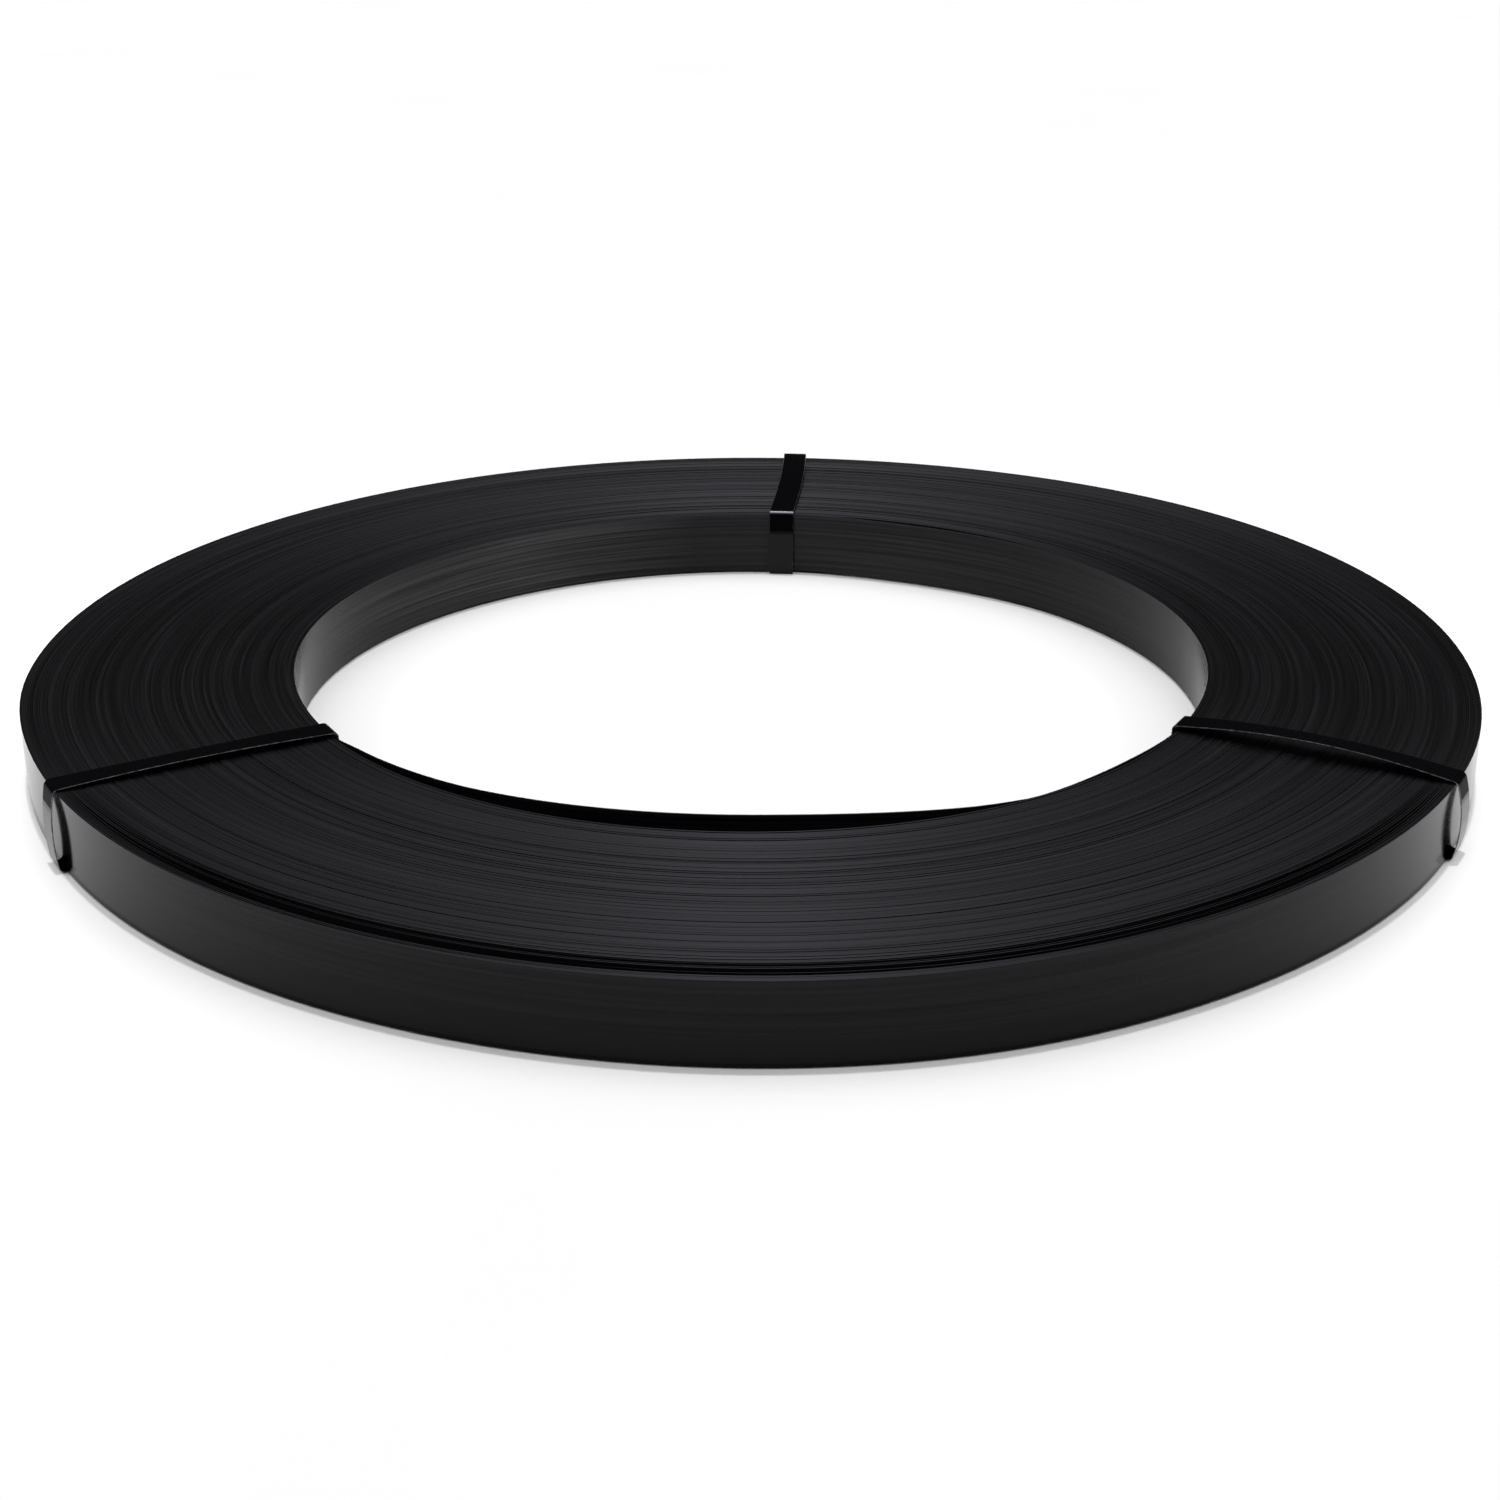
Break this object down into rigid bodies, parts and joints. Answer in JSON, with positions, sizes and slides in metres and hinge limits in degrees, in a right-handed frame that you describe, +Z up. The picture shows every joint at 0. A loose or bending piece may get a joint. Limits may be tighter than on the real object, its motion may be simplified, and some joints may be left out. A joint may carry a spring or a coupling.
{
  "type": "steel strapping coil",
  "caption": "Ribbon-wound coil of black steel strapping that lies flat, with a wide bore, sprung outer turns and narrow tie straps looped around its section.",
  "frame": {"origin": "on the floor, on the axis of the bore", "axes": "+Z up along the axis of the bore, +Y towards the rear tie strap, -Y towards the front of the picture"},
  "size_m": [0.637, 0.6413, 0.0361],
  "materials": {
    "coil_black": "black paint and wax over steel, semi-gloss",
    "tie_black": "black paint over steel, satin, with bare bright edges"
  },
  "bodies": {
    "root": {"strapping_coil": "coil_black", "tie_strap_rear": "tie_black", "tie_strap_left": "tie_black", "tie_strap_right": "tie_black"}
  },
  "joints": []
}
